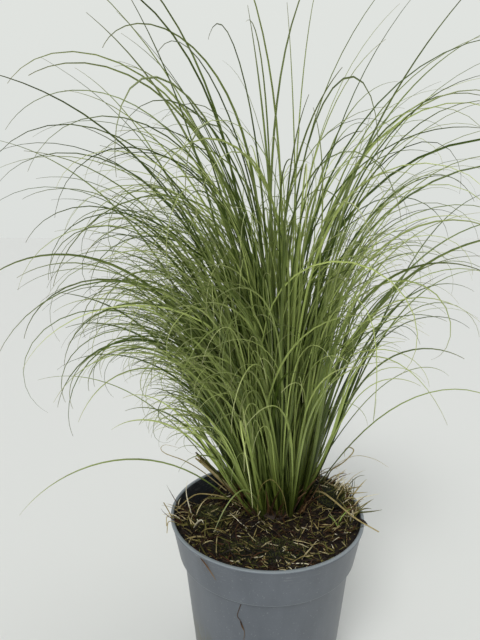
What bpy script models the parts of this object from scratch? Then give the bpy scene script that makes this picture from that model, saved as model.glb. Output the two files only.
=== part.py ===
"""A clump of hair sedge in a moulded nursery pot.

The frame stands on the pot's foot: origin at the middle of the base, +Z up, metres.
The plant grows a little behind the pot's axis. Its dense tufts fan out from one crown,
and each tuft's longest leaf goes on from the tuft's tip and arches over.
"""
import math

import bmesh
import bpy
from mathutils import Vector

# Driving dimensions.
RIM_RADIUS = 0.060
POT_HEIGHT = 0.110
WALL = 0.0013
COLLAR_HEIGHT = 0.024
COLLAR_FOOT_RADIUS = 0.0552
STEP_HEIGHT = 0.0016
BODY_TOP_RADIUS = 0.0523
BASE_RADIUS = 0.0435
LIP_HEIGHT = 0.0016
LIP_PROUD = 0.0006
FOOT_WIDTH = 0.0045
PAD_RADIUS = 0.030
CHANNEL_HEIGHT = 0.0018
DRAIN_RADIUS = 0.0028
DRAIN_COUNT = 6
DRAIN_TURN = 0.31
POT_STEPS = 40
EDGE = 0.0004

GAP = 0.0003
COMPOST_SLACK = 2 * GAP
SOIL_LEVEL = POT_HEIGHT - 0.005
# Hollow and mound in the compost: centre, reach, and how far it sinks or rises.
HOLLOW = (-0.043, 0.034, 0.020, -0.012)
MOUND = (0.046, 0.020, 0.024, 0.007)
RIPPLE = 0.001
CUSHION_LIFT = 4 * GAP
CUSHION_EDGE = 0.0008
CLUMP = Vector((0.006, 0.012, 0.0))
CROWN_RADIUS = 0.0215
CROWN_HEIGHT = 0.007
TUFT_SPACING = 0.0088
TUFT_RADIUS = 0.0040
TUFT_SHARE = 0.6
TUFT_POINTS = 10
TUFT_LIFT = 0.0016
PATH_STEPS = 60
LEAF_RADIUS = 0.0009
LEAF_POINTS = 14
LOW_LEAF_GAP = 0.0035
STUB_LENGTH = 0.042


def clear_scene():
    for item in list(bpy.data.objects):
        bpy.data.objects.remove(item, do_unlink=True)


def new_collection(name):
    collection = bpy.data.collections.new(name)
    bpy.context.scene.collection.children.link(collection)
    return collection


def new_material(name, colour, roughness):
    material = bpy.data.materials.new(name)
    material.use_nodes = True
    shader = material.node_tree.nodes["Principled BSDF"]
    shader.inputs["Base Color"].default_value = (*colour, 1.0)
    shader.inputs["Roughness"].default_value = roughness
    shader.inputs["Metallic"].default_value = 0.0
    return material


def add_object(name, data, material):
    data.materials.append(material)
    item = bpy.data.objects.new(name, data)
    parts.objects.link(item)
    return item


def shade(mesh):
    mesh.shade_smooth()
    mesh.set_sharp_from_angle(angle=math.radians(40))


def mesh_from(name, build):
    """A mesh holding the bmesh that was just built."""
    mesh = bpy.data.meshes.new(name)
    build.to_mesh(mesh)
    build.free()
    shade(mesh)
    return mesh


# ---------------------------------------------------------------- the pot

def inner_radius(height):
    """Radius of the pot's inner wall at a height above its foot."""
    step_top = POT_HEIGHT - COLLAR_HEIGHT
    step_foot = step_top - STEP_HEIGHT
    if height <= step_foot:
        share = height / step_foot
        return BASE_RADIUS + share * (BODY_TOP_RADIUS - BASE_RADIUS) - WALL
    if height <= step_top:
        share = (height - step_foot) / STEP_HEIGHT
        return BODY_TOP_RADIUS + share * (COLLAR_FOOT_RADIUS - BODY_TOP_RADIUS) - WALL
    share = min((height - step_top) / COLLAR_HEIGHT, 1.0)
    return COLLAR_FOOT_RADIUS + share * (RIM_RADIUS - LIP_PROUD - COLLAR_FOOT_RADIUS) - WALL


def pot_profile():
    """The wall's section, from the inside of the floor over the rim and down to the foot."""
    floor = CHANNEL_HEIGHT + WALL
    step_top = POT_HEIGHT - COLLAR_HEIGHT
    step_foot = step_top - STEP_HEIGHT
    foot_inside = BASE_RADIUS - FOOT_WIDTH
    return [
        (0.0, WALL),
        (PAD_RADIUS - EDGE, WALL),
        (PAD_RADIUS, floor),
        (inner_radius(floor), floor),
        (inner_radius(step_foot), step_foot),
        (inner_radius(step_top), step_top),
        (inner_radius(POT_HEIGHT - EDGE), POT_HEIGHT - EDGE),
        (inner_radius(POT_HEIGHT) + EDGE, POT_HEIGHT),
        (RIM_RADIUS - EDGE, POT_HEIGHT),
        (RIM_RADIUS, POT_HEIGHT - EDGE),
        (RIM_RADIUS, POT_HEIGHT - LIP_HEIGHT),
        (RIM_RADIUS - LIP_PROUD, POT_HEIGHT - LIP_HEIGHT - EDGE),
        (COLLAR_FOOT_RADIUS, step_top + EDGE),
        (COLLAR_FOOT_RADIUS - EDGE, step_top - EDGE),
        (BODY_TOP_RADIUS, step_foot),
        (BASE_RADIUS, 2 * EDGE),
        (BASE_RADIUS - 2 * EDGE, 0.0),
        (foot_inside, 0.0),
        (foot_inside - EDGE, CHANNEL_HEIGHT),
        (PAD_RADIUS + 3 * EDGE, CHANNEL_HEIGHT),
        (PAD_RADIUS + 2 * EDGE, 0.0),
        (0.0, 0.0),
    ]


def make_pot():
    profile = pot_profile()
    mesh = bpy.data.meshes.new("pot")
    edges = [(i, i + 1) for i in range(len(profile) - 1)]
    mesh.from_pydata([(radius, 0.0, height) for radius, height in profile], edges, [])
    pot = add_object("pot", mesh, new_material("moulded_polypropylene", (0.17, 0.19, 0.21), 0.45))
    turn = pot.modifiers.new("turn", "SCREW")
    turn.steps = POT_STEPS
    turn.render_steps = POT_STEPS
    turn.use_merge_vertices = True
    turn.merge_threshold = 0.0001
    turn.use_smooth_shade = True
    drain_ring = (PAD_RADIUS + BASE_RADIUS - FOOT_WIDTH + 2 * EDGE) / 2
    for index in range(DRAIN_COUNT):
        angle = 2 * math.pi * index / DRAIN_COUNT + DRAIN_TURN
        build = bmesh.new()
        bmesh.ops.create_cone(build, cap_ends=True, segments=12, radius1=DRAIN_RADIUS,
                              radius2=DRAIN_RADIUS, depth=0.012)
        cutter = bpy.data.objects.new(f"drain_cutter_{index + 1}", mesh_from("drain", build))
        cutter.location = (drain_ring * math.cos(angle), drain_ring * math.sin(angle), 0.003)
        cutter.hide_render = True
        cutter.display_type = "WIRE"
        cutters.objects.link(cutter)
        cut = pot.modifiers.new(f"drain_{index + 1}", "BOOLEAN")
        cut.operation = "DIFFERENCE"
        cut.solver = "EXACT"
        cut.object = cutter


# ---------------------------------------------------------------- compost, moss and crown

def bump(x, y, centre_x, centre_y, reach, rise):
    distance = math.hypot(x - centre_x, y - centre_y) / reach
    return rise * math.exp(-distance * distance)


def soil_height(x, y):
    """Height of the compost: sunk at the back left, mounded at the right."""
    ripple = RIPPLE * math.sin(95 * x + 0.7) * math.cos(80 * y)
    return SOIL_LEVEL + bump(x, y, *HOLLOW) + bump(x, y, *MOUND) + ripple


def make_compost():
    sides = 32
    rings = (0.86, 0.68, 0.48, 0.26, 0.0)
    floor = CHANNEL_HEIGHT + WALL + GAP
    step_top = POT_HEIGHT - COLLAR_HEIGHT
    heights = (floor, step_top - STEP_HEIGHT, step_top, SOIL_LEVEL)
    outline = [(0.0, floor)]
    outline += [(inner_radius(height) - COMPOST_SLACK, height) for height in heights]
    outline += [(share * outline[-1][0], SOIL_LEVEL) for share in rings]
    build = bmesh.new()
    points = [build.verts.new((radius, 0.0, height)) for radius, height in outline]
    lines = [build.edges.new(pair) for pair in zip(points[:-1], points[1:])]
    bmesh.ops.spin(build, geom=points + lines, cent=(0, 0, 0), axis=(0, 0, 1),
                   angle=2 * math.pi, steps=sides, use_merge=True)
    bmesh.ops.remove_doubles(build, verts=build.verts, dist=0.00005)
    edge_radius = inner_radius(SOIL_LEVEL) - COMPOST_SLACK
    for vertex in build.verts:
        if vertex.co.z < SOIL_LEVEL - 0.0001:
            continue
        share = math.hypot(vertex.co.x, vertex.co.y) / edge_radius
        height = soil_height(vertex.co.x, vertex.co.y)
        if share > 0.99:
            wall_share = (inner_radius(height) - COMPOST_SLACK) / edge_radius
            vertex.co.x *= wall_share
            vertex.co.y *= wall_share
        vertex.co.z = height
    bmesh.ops.recalc_face_normals(build, faces=build.faces)
    material = new_material("peat_compost", (0.045, 0.032, 0.022), 0.95)
    add_object("compost", mesh_from("compost", build), material)


def cushion_top(share, thickness):
    """How far a cushion stands above its underside, at a share of its radius."""
    return CUSHION_EDGE + thickness * math.sqrt(max(1 - share * share, 0.0))


def make_cushion(name, centre, radii, thickness, material, sides=14):
    """A low cushion whose underside follows the compost."""
    build = bmesh.new()
    bmesh.ops.create_uvsphere(build, u_segments=sides, v_segments=8, radius=1.0)
    for vertex in build.verts:
        share = math.hypot(vertex.co.x, vertex.co.y)
        top = vertex.co.z > -0.001
        x = centre[0] + radii[0] * vertex.co.x
        y = centre[1] + radii[1] * vertex.co.y
        height = soil_height(x, y) + CUSHION_LIFT
        if top:
            height += cushion_top(share, thickness)
        vertex.co = (x, y, height)
    bmesh.ops.recalc_face_normals(build, faces=build.faces)
    add_object(name, mesh_from(name, build), material)


def make_ground_cover():
    moss = new_material("moss", (0.06, 0.085, 0.02), 0.9)
    make_cushion("moss_right", (0.043, 0.014), (0.0115, 0.017), 0.0035, moss)
    make_cushion("moss_front", (-0.006, -0.036), (0.026, 0.0115), 0.0022, moss)
    make_cushion("moss_left", (-0.036, -0.006), (0.0125, 0.016), 0.0022, moss)
    sheaths = new_material("old_leaf_sheaths", (0.16, 0.10, 0.045), 0.8)
    make_cushion("crown", (CLUMP.x, CLUMP.y), (CROWN_RADIUS, CROWN_RADIUS), CROWN_HEIGHT, sheaths)


def crown_height(x, y):
    """Height of the crown's top at a place on it, or of the compost beside it."""
    share = math.hypot(x - CLUMP.x, y - CLUMP.y) / CROWN_RADIUS
    height = soil_height(x, y) + CUSHION_LIFT
    if share < 1.0:
        height += cushion_top(share, CROWN_HEIGHT)
    return height


# ---------------------------------------------------------------- tufts and leaves

def leaf_path(root, azimuth, lean, tip_lean, length, bend, points):
    """Points along a leaf that leans off the vertical and turns over towards its tip."""
    place = Vector(root)
    path = [place.copy()]
    stride = length / (points - 1)
    heading = Vector((math.cos(math.radians(azimuth)), math.sin(math.radians(azimuth)), 0.0))
    for index in range(points - 1):
        along = (index + 0.5) / (points - 1)
        angle = math.radians(lean + (tip_lean - lean) * along ** bend)
        place = place + stride * (math.sin(angle) * heading + math.cos(angle) * Vector((0, 0, 1)))
        path.append(place.copy())
    return path


def add_tube(name, path, radii, material, sides_step):
    """A tapering tube along a path, with closed ends."""
    curve = bpy.data.curves.new(name, "CURVE")
    curve.dimensions = "3D"
    curve.bevel_depth = 1.0
    curve.bevel_resolution = sides_step
    curve.use_fill_caps = True
    line = curve.splines.new("POLY")
    line.points.add(len(path) - 1)
    for point, place, radius in zip(line.points, path, radii):
        point.co = (*place, 1.0)
        point.radius = radius
    add_object(name, curve, material)


def root_on_crown(spacing, azimuth):
    angle = math.radians(azimuth)
    x = CLUMP.x + spacing * math.cos(angle)
    y = CLUMP.y + spacing * math.sin(angle)
    return Vector((x, y, crown_height(x, y) + TUFT_LIFT))


# Each tuft: the lattice ring and azimuth that it grows from, then the way its longest leaf
# goes: azimuth, lean at the root, lean at the tip, length in millimetres, lateness of the bend.
TUFTS = [
    ("centre", 0.0, 0, 150, 0, 12, 305, 2.0),
    ("inner_right", 1.0, 0, 4, 4, 72, 335, 2.6),
    ("inner_back_right", 1.0, 60, 55, 6, 100, 330, 3.0),
    ("inner_back_left", 1.0, 120, 125, 6, 105, 335, 3.0),
    ("inner_left", 1.0, 180, 178, 3, 145, 355, 3.2),
    ("inner_front_left", 1.0, 240, 215, 2, 155, 330, 5.5),
    ("inner_front_right", 1.0, 300, 332, 6, 50, 320, 2.4),
    ("outer_right", 2.0, 0, 0, 15, 120, 265, 2.8),
    ("outer_right_back", 1.732, 30, 24, 11, 145, 300, 3.6),
    ("outer_back_right", 2.0, 60, 60, 16, 125, 285, 2.6),
    ("outer_back", 1.732, 90, 90, 14, 120, 290, 2.8),
    ("outer_back_left", 2.0, 120, 120, 16, 125, 280, 2.6),
    ("outer_left_back", 1.732, 150, 155, 11, 60, 330, 2.4),
    ("outer_left", 2.0, 180, 184, 13, 82, 290, 2.4),
    ("outer_left_front", 1.732, 210, 205, 14, 140, 255, 2.8),
    ("outer_front_left", 2.0, 240, 238, 14, 118, 225, 3.0),
    ("outer_front", 1.732, 270, 268, 8, 110, 225, 3.2),
    ("outer_front_right", 2.0, 300, 300, 13, 115, 225, 3.0),
    ("outer_right_front", 1.732, 330, 334, 13, 122, 250, 2.8),
]

# Leaves that leave the crown's edge below the tufts: azimuth, lean at the root, lean at the
# tip, length in millimetres, lateness of the bend.
LOW_LEAVES = [
    ("low_leaf_left", 176, 34, 108, 165, 2.0),
    ("low_leaf_left_front", 205, 38, 140, 150, 1.6),
    ("low_leaf_right", 4, 34, 176, 190, 2.0),
    ("low_leaf_right_back", 28, 40, 128, 165, 2.2),
    ("low_leaf_back", 92, 38, 125, 170, 2.0),
    ("low_leaf_back_left", 140, 38, 130, 160, 1.9),
    ("low_leaf_front", 252, 34, 112, 105, 1.8),
]


def make_tufts():
    leaf_green = new_material("sedge_leaf", (0.15, 0.23, 0.06), 0.5)
    tuft_green = new_material("sedge_tuft", (0.09, 0.16, 0.035), 0.6)
    for name, ring, lattice, azimuth, lean, tip_lean, length, bend in TUFTS:
        root = root_on_crown(ring * TUFT_SPACING, lattice)
        path = leaf_path(root, azimuth, lean, tip_lean, length * 0.001, bend, PATH_STEPS + 1)
        split = round(TUFT_SHARE * PATH_STEPS)
        tuft_stride = split // (TUFT_POINTS - 1)
        tuft_path = path[0:split + 1:tuft_stride]
        last = len(tuft_path) - 1
        radii = [TUFT_RADIUS * (1 - 0.72 * max(0.0, 2 * i / last - 1) ** 1.5)
                 for i in range(last + 1)]
        add_tube(f"tuft_{name}", tuft_path, radii, tuft_green, 2)
        leaf_start = path[split].lerp(path[split + 1], 0.15)
        leaf_points = [leaf_start] + path[split + 2::2]
        taper = [LEAF_RADIUS * (1 - 0.7 * i / (len(leaf_points) - 1))
                 for i in range(len(leaf_points))]
        add_tube(f"leaf_{name}", leaf_points, taper, leaf_green, 0)
    for name, azimuth, lean, tip_lean, length, bend in LOW_LEAVES:
        angle = math.radians(azimuth)
        reach = CROWN_RADIUS + LOW_LEAF_GAP
        x = CLUMP.x + reach * math.cos(angle)
        y = CLUMP.y + reach * math.sin(angle)
        root = (x, y, soil_height(x, y) + LOW_LEAF_GAP)
        path = leaf_path(root, azimuth, lean, tip_lean, length * 0.001, bend, LEAF_POINTS)
        taper = [LEAF_RADIUS * (1 - 0.7 * i / (LEAF_POINTS - 1)) for i in range(LEAF_POINTS)]
        add_tube(name, path, taper, leaf_green, 0)


# ---------------------------------------------------------------- loose and dry pieces

def make_dry_pieces():
    straw = new_material("dry_straw", (0.42, 0.30, 0.15), 0.75)
    long_straw = [Vector((0.0385, 0.0085, 0.1180)), Vector((0.0445, -0.003, 0.1178)),
                  Vector((0.052, -0.015, 0.1160)), Vector((0.063, -0.031, 0.1135))]
    add_tube("long_straw", long_straw, [0.0008, 0.0009, 0.0008, 0.0005], straw, 0)
    stub_root = CLUMP + Vector((-0.024, 0.007, 0.0))
    stub_root.z = soil_height(stub_root.x, stub_root.y) + 0.0045
    stub = leaf_path(stub_root, 168, 44, 52, STUB_LENGTH, 1.0, 6)
    add_tube("cut_stub", stub, [0.0022, 0.0021, 0.0019, 0.0018, 0.0016, 0.0014], straw, 1)
    tendril_root = CLUMP + Vector((0.0165, 0.0195, 0.0))
    tendril_root.z = soil_height(tendril_root.x, tendril_root.y) + 0.004
    tendril = leaf_path(tendril_root, 36, 48, 330, 0.085, 3.0, 18)
    add_tube("curled_dry_leaf", tendril, [0.0006] * len(tendril), straw, 0)
    green = new_material("seedling_leaf", (0.16, 0.34, 0.05), 0.5)
    sprout_root = Vector((0.042, -0.016, soil_height(0.042, -0.016) + 0.0012))
    sprout = leaf_path(sprout_root, 20, 10, 75, 0.014, 1.2, 6)
    add_tube("seedling", sprout, [0.0007, 0.0008, 0.0011, 0.0012, 0.0009, 0.0004], green, 1)


clear_scene()
parts = new_collection("potted_ornamental_grass")
cutters = new_collection("cutters")
make_pot()
make_compost()
make_ground_cover()
make_tufts()
make_dry_pieces()
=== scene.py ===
"""A hair sedge in its nursery pot, put together as it stands: pot, compost, moss and litter,
the crown, the leafy tufts, the long leaves, and the dry pieces that lie about the plant."""
import math
import random

import bmesh
import bpy
from mathutils import Matrix, Vector, noise


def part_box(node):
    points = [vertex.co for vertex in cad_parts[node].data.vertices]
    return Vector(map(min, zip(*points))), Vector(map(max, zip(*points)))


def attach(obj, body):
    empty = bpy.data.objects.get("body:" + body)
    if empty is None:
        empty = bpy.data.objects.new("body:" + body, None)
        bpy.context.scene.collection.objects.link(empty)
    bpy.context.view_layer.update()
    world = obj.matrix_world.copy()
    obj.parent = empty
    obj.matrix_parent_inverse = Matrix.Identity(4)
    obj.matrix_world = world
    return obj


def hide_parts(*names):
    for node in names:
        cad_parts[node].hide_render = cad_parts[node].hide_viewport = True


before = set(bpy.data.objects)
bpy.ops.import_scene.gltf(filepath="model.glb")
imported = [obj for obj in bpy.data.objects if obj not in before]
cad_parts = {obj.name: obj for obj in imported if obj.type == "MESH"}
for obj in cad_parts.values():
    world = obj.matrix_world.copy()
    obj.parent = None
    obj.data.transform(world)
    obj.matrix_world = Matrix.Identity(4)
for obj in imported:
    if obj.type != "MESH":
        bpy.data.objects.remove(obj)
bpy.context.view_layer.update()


# Nursery pot: one thin wall of grey recycled polypropylene, injection-moulded, with a deep
# collar that stacks on the next pot, a rounded lip, and a foot with drain holes in a channel.
# It is handled with wet gloves, so peat and algae have dried on it and grit has scuffed it.
POT_STEPS = 160
_, pot_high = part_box("pot")
RIM_RADIUS = pot_high.x
POT_HEIGHT = pot_high.z
WALL = 0.0013
COLLAR_HEIGHT = 0.024
COLLAR_FOOT_RADIUS = 0.0552
STEP_HEIGHT = 0.0016
BODY_TOP_RADIUS = 0.0523
BASE_RADIUS = 0.0435
LIP_HEIGHT = 0.0016
LIP_PROUD = 0.0006
FOOT_WIDTH = 0.0045
PAD_RADIUS = 0.030
CHANNEL_HEIGHT = 0.0018
POT_GREY = "#5b6169"
POT_GREY_LIGHT = "#666c74"
DUST = "#a9aca9"
# Pale colour painted along the rim's top and the collar's step as a highlight.
PAINTED_EDGE_HIGHLIGHT = "#9aa2a6"
PEAT_STAIN = "#3d3021"
ALGAE_STAIN = "#5b5a3c"
# Colours of the inner wall: painted shade, far darker than the outside grey.
INSIDE_PAINTED_SHADE = "#23262a"
INSIDE_PAINTED_SHADE_PALE = "#2e3236"


def linear(hex_colour):
    """An sRGB hex colour as linear red, green, blue and alpha."""
    shares = [int(hex_colour[i:i + 2], 16) / 255 for i in (1, 3, 5)]
    return tuple(share / 12.92 if share <= 0.04045 else ((share + 0.055) / 1.055) ** 2.4
                 for share in shares) + (1.0,)


def node(tree, kind, links=None, stops=None, **settings):
    """Adds a node, with its settings, the values or links of its inputs, and a ramp's stops."""
    made = tree.nodes.new(kind)
    for name, value in settings.items():
        setattr(made, name, value)
    for socket, value in (links or {}).items():
        if isinstance(value, bpy.types.NodeSocket):
            tree.links.new(value, made.inputs[socket])
        elif isinstance(value, str):
            made.inputs[socket].default_value = linear(value)
        else:
            made.inputs[socket].default_value = value
    if stops:
        ramp = made.color_ramp
        while len(ramp.elements) < len(stops):
            ramp.elements.new(0.5)
        for element, (place, shade) in zip(ramp.elements, stops):
            element.position = place
            element.color = linear(shade) if isinstance(shade, str) else (shade, shade, shade, 1.0)
    return made


def start_material(name, roughness, ior=1.45):
    """A material with its tree, its surface shader, and the object's own coordinates."""
    made = bpy.data.materials.new(name)
    made.use_nodes = True
    tree = made.node_tree
    shader = tree.nodes["Principled BSDF"]
    shader.inputs["Roughness"].default_value = roughness
    shader.inputs["IOR"].default_value = ior
    place = tree.nodes.new("ShaderNodeTexCoord").outputs["Object"]
    return made, tree, shader, place


def finish_piece(name, build, materials, slot, *nodes, sharp=50):
    """Makes a named object of a bmesh, and ties it to the frame."""
    mesh = bpy.data.meshes.new(name)
    build.to_mesh(mesh)
    build.free()
    mesh.shade_smooth()
    mesh.set_sharp_from_angle(angle=math.radians(sharp))
    for item in materials:
        mesh.materials.append(item)
    piece = bpy.data.objects.new(name, mesh)
    bpy.context.scene.collection.objects.link(piece)
    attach(piece, "root")
    if nodes:
        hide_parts(*nodes)


def inner_radius(height):
    """Radius of the pot's inner wall at a height above its foot."""
    step_top = POT_HEIGHT - COLLAR_HEIGHT
    step_foot = step_top - STEP_HEIGHT
    if height <= step_foot:
        return BASE_RADIUS + height / step_foot * (BODY_TOP_RADIUS - BASE_RADIUS) - WALL
    if height <= step_top:
        share = (height - step_foot) / STEP_HEIGHT
        return BODY_TOP_RADIUS + share * (COLLAR_FOOT_RADIUS - BODY_TOP_RADIUS) - WALL
    share = min((height - step_top) / COLLAR_HEIGHT, 1.0)
    return COLLAR_FOOT_RADIUS + share * (RIM_RADIUS - LIP_PROUD - COLLAR_FOOT_RADIUS) - WALL


def spin_outline(outline, steps):
    """A closed solid turned about the pot's axis from an outline that starts and ends on it."""
    build = bmesh.new()
    points = [build.verts.new((radius, 0.0, height)) for radius, height in outline]
    lines = [build.edges.new(pair) for pair in zip(points[:-1], points[1:])]
    bmesh.ops.spin(build, geom=points + lines, cent=(0, 0, 0), axis=(0, 0, 1),
                   angle=2 * math.pi, steps=steps, use_merge=True)
    bmesh.ops.remove_doubles(build, verts=build.verts, dist=0.00002)
    bmesh.ops.recalc_face_normals(build, faces=build.faces)
    return build


def make_pot():
    """The pot's wall, collar, lip and foot; its inside takes the second material."""
    floor = CHANNEL_HEIGHT + WALL
    step_top = POT_HEIGHT - COLLAR_HEIGHT
    step_foot = step_top - STEP_HEIGHT
    edge = 0.0004
    foot_inside = BASE_RADIUS - FOOT_WIDTH
    outline = [(0.0, WALL), (PAD_RADIUS - edge, WALL), (PAD_RADIUS, floor),
               (inner_radius(floor), floor), (inner_radius(step_foot), step_foot),
               (inner_radius(step_top), step_top),
               (inner_radius(POT_HEIGHT - 2 * edge), POT_HEIGHT - 2 * edge),
               (inner_radius(POT_HEIGHT) + 0.3 * edge, POT_HEIGHT - 0.6 * edge),
               (inner_radius(POT_HEIGHT) + edge, POT_HEIGHT - 0.1 * edge),
               (RIM_RADIUS - 1.5 * edge, POT_HEIGHT),
               (RIM_RADIUS - 0.6 * edge, POT_HEIGHT - 0.3 * edge),
               (RIM_RADIUS - 0.1 * edge, POT_HEIGHT - edge),
               (RIM_RADIUS, POT_HEIGHT - 2 * edge),
               (RIM_RADIUS - 0.1 * edge, POT_HEIGHT - LIP_HEIGHT),
               (RIM_RADIUS - 0.9 * LIP_PROUD, POT_HEIGHT - LIP_HEIGHT - 0.6 * edge),
               (RIM_RADIUS - LIP_PROUD - 0.4 * edge, POT_HEIGHT - LIP_HEIGHT - 2 * edge),
               (COLLAR_FOOT_RADIUS + 0.1 * edge, step_top + 2 * edge),
               (COLLAR_FOOT_RADIUS - 0.3 * edge, step_top + 0.5 * edge),
               (COLLAR_FOOT_RADIUS - 1.4 * edge, step_top - 0.6 * edge),
               (BODY_TOP_RADIUS + 0.7 * edge, step_foot + edge),
               (BODY_TOP_RADIUS, step_foot - 0.5 * edge),
               (BASE_RADIUS + 0.2 * edge, 5 * edge),
               (BASE_RADIUS - 0.5 * edge, 2 * edge),
               (BASE_RADIUS - 2 * edge, 0.3 * edge), (BASE_RADIUS - 4 * edge, 0.0),
               (foot_inside, 0.0), (foot_inside - edge, CHANNEL_HEIGHT),
               (PAD_RADIUS + 3 * edge, CHANNEL_HEIGHT), (PAD_RADIUS + 2 * edge, 0.0), (0.0, 0.0)]
    build = spin_outline(outline, POT_STEPS)
    # Faces of the inner wall above the pot's floor take the second material, which is painted
    # shade.
    for face in build.faces:
        middle = face.calc_center_median()
        outward = face.normal.x * middle.x + face.normal.y * middle.y
        inside = outward < -0.0001 and middle.z < POT_HEIGHT - LIP_HEIGHT
        face.material_index = 1 if inside and middle.z > floor else 0
    return build


def polypropylene(name, grey, light, dusty):
    """Moulded polypropylene: satin, faint colour flow, dried peat, algae, scuffs; painted edge
    highlights.
    """
    made, tree, shader, place = start_material(name, 0.42, 1.49)
    flow_place = node(tree, "ShaderNodeMapping", {"Vector": place, "Scale": (1.0, 1.0, 0.35)})
    flow = node(tree, "ShaderNodeTexNoise", {"Vector": flow_place.outputs[0], "Scale": 55.0,
                                             "Detail": 4.0, "Roughness": 0.6})
    body = node(tree, "ShaderNodeValToRGB", {"Fac": flow.outputs["Fac"]},
                stops=[(0.35, grey), (0.68, light)])
    height = node(tree, "ShaderNodeSeparateXYZ", {"Vector": place})
    near_rim = node(tree, "ShaderNodeMapRange", {"Value": height.outputs["Z"],
                    "From Min": POT_HEIGHT - 0.014, "From Max": POT_HEIGHT,
                    "To Min": 0.0, "To Max": 1.0})
    patches = node(tree, "ShaderNodeTexNoise", {"Vector": place, "Scale": 70.0, "Detail": 3.0})
    scuff_place = node(tree, "ShaderNodeMapping", {"Vector": place, "Scale": (1.0, 1.0, 14.0)})
    scuffs = node(tree, "ShaderNodeTexNoise", {"Vector": scuff_place.outputs[0], "Scale": 110.0,
                                               "Detail": 5.0, "Roughness": 0.7})
    scuff_edge = node(tree, "ShaderNodeMapRange", {"Value": scuffs.outputs["Fac"],
                      "From Min": 0.55, "From Max": 0.72, "To Min": 0.0, "To Max": 1.0})
    patch_edge = node(tree, "ShaderNodeMapRange", {"Value": patches.outputs["Fac"],
                      "From Min": 0.42, "From Max": 0.62, "To Min": 0.15, "To Max": 1.0})
    scuffed = node(tree, "ShaderNodeMath", {0: scuff_edge.outputs[0], 1: patch_edge.outputs[0]},
                   operation="MULTIPLY")
    scuffed_rim = node(tree, "ShaderNodeMath", {0: scuffed.outputs[0], 1: near_rim.outputs[0]},
                       operation="MULTIPLY")
    specks = node(tree, "ShaderNodeTexNoise", {"Vector": place, "Scale": 900.0, "Detail": 2.0})
    speck_edge = node(tree, "ShaderNodeMapRange", {"Value": specks.outputs["Fac"],
                      "From Min": 0.66, "From Max": 0.70, "To Min": 0.0, "To Max": dusty})
    dust = node(tree, "ShaderNodeMath", {0: scuffed_rim.outputs[0], 1: speck_edge.outputs[0]},
                operation="MAXIMUM")
    dusted = node(tree, "ShaderNodeMix", {"Factor": dust.outputs[0], "A": body.outputs["Color"],
                                          "B": DUST}, data_type="RGBA")
    # Painted highlights: a pale band at the rim's top and a thin pale line at the collar's step,
    # where light catches these edges.
    step_top = POT_HEIGHT - COLLAR_HEIGHT
    edges = [node(tree, "ShaderNodeMath", {0: height.outputs["Z"], 1: edge, 2: reach},
                  operation="COMPARE").outputs[0]
             for edge, reach in ((POT_HEIGHT, 0.0007), (step_top - 0.0002, 0.0006))]
    highlight_edges = node(tree, "ShaderNodeMath", {0: edges[0], 1: edges[1]}, operation="MAXIMUM")
    highlight_share = node(tree, "ShaderNodeMath", {0: highlight_edges.outputs[0], 1: 0.6}, operation="MULTIPLY")
    highlit_and_stained = node(tree, "ShaderNodeMix", {"Factor": highlight_share.outputs[0], "B": PAINTED_EDGE_HIGHLIGHT,
                   "A": dusted.outputs["Result"]}, data_type="RGBA").outputs["Result"]
    # Each stain's middle, its reach, its colour and how strong it is there.
    stains = [((-0.041, -0.022, 0.030), 0.028, ALGAE_STAIN, 0.75),
              ((-0.0360, -0.0460, 0.1045), 0.0060, PEAT_STAIN, 0.5)]
    for centre, reach, shade, strength in stains:
        offset = node(tree, "ShaderNodeVectorMath", {0: place, 1: centre}, operation="DISTANCE")
        spread = node(tree, "ShaderNodeMapRange", {"Value": offset.outputs["Value"],
                      "From Min": reach, "From Max": reach * 0.35, "To Min": 0.0,
                      "To Max": strength})
        streak_place = node(tree, "ShaderNodeMapping", {"Vector": place, "Scale": (1, 1, 0.2)})
        streaks = node(tree, "ShaderNodeTexNoise", {"Vector": streak_place.outputs[0],
                       "Scale": 420.0, "Detail": 3.0})
        streak_edge = node(tree, "ShaderNodeMapRange", {"Value": streaks.outputs["Fac"],
                           "From Min": 0.40, "From Max": 0.60, "To Min": 0.0, "To Max": 1.0})
        share = node(tree, "ShaderNodeMath", {0: spread.outputs[0], 1: streak_edge.outputs[0]},
                     operation="MULTIPLY")
        highlit_and_stained = node(tree, "ShaderNodeMix", {"Factor": share.outputs[0], "A": highlit_and_stained,
                       "B": shade}, data_type="RGBA").outputs["Result"]
    tree.links.new(highlit_and_stained, shader.inputs["Base Color"])
    gloss = node(tree, "ShaderNodeMapRange", {"Value": dust.outputs[0], "From Min": 0.0,
                 "From Max": 1.0, "To Min": 0.40, "To Max": 0.75})
    tree.links.new(gloss.outputs[0], shader.inputs["Roughness"])
    grain = node(tree, "ShaderNodeTexNoise", {"Vector": place, "Scale": 1400.0, "Detail": 2.0})
    bump = node(tree, "ShaderNodeBump", {"Height": grain.outputs["Fac"], "Strength": 0.12,
                                         "Distance": 0.0002})
    tree.links.new(bump.outputs[0], shader.inputs["Normal"])
    return made


# The outside keeps its moulded grey; the inside is painted near black, as painted shade on the
# pot's inner wall.
finish_piece("pot_shell", make_pot(),
             [polypropylene("moulded_polypropylene", POT_GREY, POT_GREY_LIGHT, 0.3),
              polypropylene("shade_painted_polypropylene", INSIDE_PAINTED_SHADE, INSIDE_PAINTED_SHADE_PALE, 0.2)],
             "pot", "pot", sharp=35)


# Compost: moist black peat that fills the pot. It has sunk at the back left and stands in a
# mound at the right, and its surface is crumbs, shreds of bark and short fibres.
SOIL_LEVEL = POT_HEIGHT - 0.005
COMPOST_STEPS = 170
COMPOST_RINGS = 44
CRUMBS = 1500
CRUMB_REACH = 0.0565
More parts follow.
